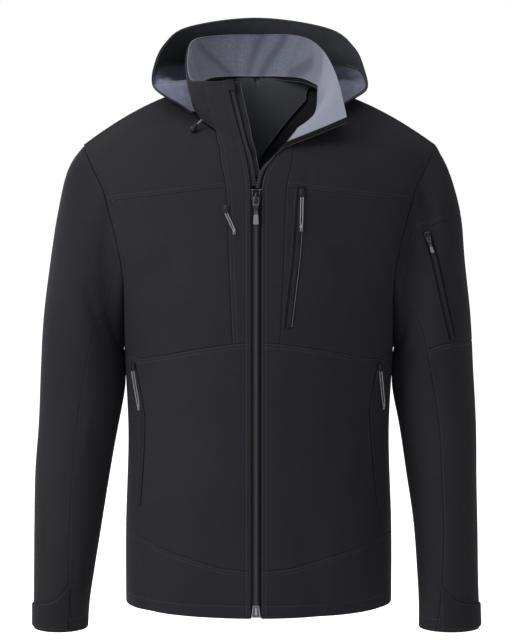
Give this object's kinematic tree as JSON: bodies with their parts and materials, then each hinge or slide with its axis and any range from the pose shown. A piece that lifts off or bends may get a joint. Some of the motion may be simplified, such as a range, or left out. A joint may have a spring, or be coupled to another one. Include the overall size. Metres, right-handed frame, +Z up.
{
  "type": "softshell jacket",
  "caption": "Hooded softshell jacket, filled out with no wearer, hood down, front zip open at the neck with one collar end turned outward.",
  "frame": {"origin": "middle of the shoulders inside the neck, where the wearer holds the jacket up", "axes": "+Z up, the front faces -Y, +X is the wearer's left"},
  "size_m": [0.6253, 0.3071, 0.854],
  "materials": {
    "shell": "matte brushed softshell weave, near black",
    "shell_trim": "matte softshell, near black",
    "fleece": "soft blue grey fleece nap",
    "hood_lining": "smooth blue grey knit",
    "facing": "plain black woven facing",
    "zip_tape": "black coated zip tape",
    "slider": "satin black",
    "pull_tab": "moulded grey",
    "zip_box": "dull grey metal",
    "pull_cord": "light grey braided cord",
    "cord_lock": "moulded black"
  },
  "bodies": {
    "jacket": {"front_centre_R": "shell", "front_centre_L": "shell", "front_yoke_R": "shell", "front_yoke_L": "shell", "front_chest_R": "shell", "front_chest_L": "shell", "front_lower_R": "shell", "front_lower_L": "shell", "front_hem_R": "shell", "front_hem_L": "shell", "back_yoke": "shell", "back_body": "shell", "back_hem": "shell", "collar_shell": "shell", "hood_side_R": "shell", "hood_centre": "shell", "hood_side_L": "shell", "sleeve_upper_R": "shell", "sleeve_under_R": "shell", "sleeve_cap_L": "shell", "sleeve_pocket_L": "shell", "sleeve_upper_L": "shell", "sleeve_under_L": "shell", "cuff_tab_R": "shell_trim", "cuff_tab_L": "shell_trim", "storm_flap": "shell_trim", "zip_garage": "shell_trim", "collar_lining": "fleece", "hood_lining": "hood_lining", "back_neck_facing": "facing", "hood_brim_facing": "facing", "main_zip_closed": "zip_tape", "main_zip_open_R": "zip_tape", "main_zip_open_L": "zip_tape", "chest_zip_L": "zip_tape", "hand_zip_R": "zip_tape", "hand_zip_L": "zip_tape", "sleeve_zip_L": "zip_tape", "main_slider": "slider", "slider_chest_R": "slider", "slider_chest_L": "slider", "slider_hand_R": "slider", "slider_hand_L": "slider", "sleeve_slider_L": "slider", "zip_bottom_box": "zip_box", "pull_chest_R": "pull_cord", "pull_chest_L": "pull_cord", "pull_hand_R": "pull_cord", "pull_hand_L": "pull_cord", "hood_cord_lock_R": "cord_lock"},
    "main_pull": {"main_pull_tab": "pull_tab"},
    "sleeve_pull": {"sleeve_pull_tab_L": "pull_tab"}
  },
  "joints": [
    {"name": "main_pull_hinge", "type": "hinge", "parent": "jacket", "child": "main_pull", "pos_m": [0, -0.1308, -0.1113], "axis": [-1, 0, 0], "range_deg": [0, 150]},
    {"name": "sleeve_pull_hinge", "type": "hinge", "parent": "jacket", "child": "sleeve_pull", "pos_m": [0.23549, -0.06458, -0.16537], "axis": [-0.9596, -0.0696, -0.2726], "range_deg": [0, 150]}
  ]
}
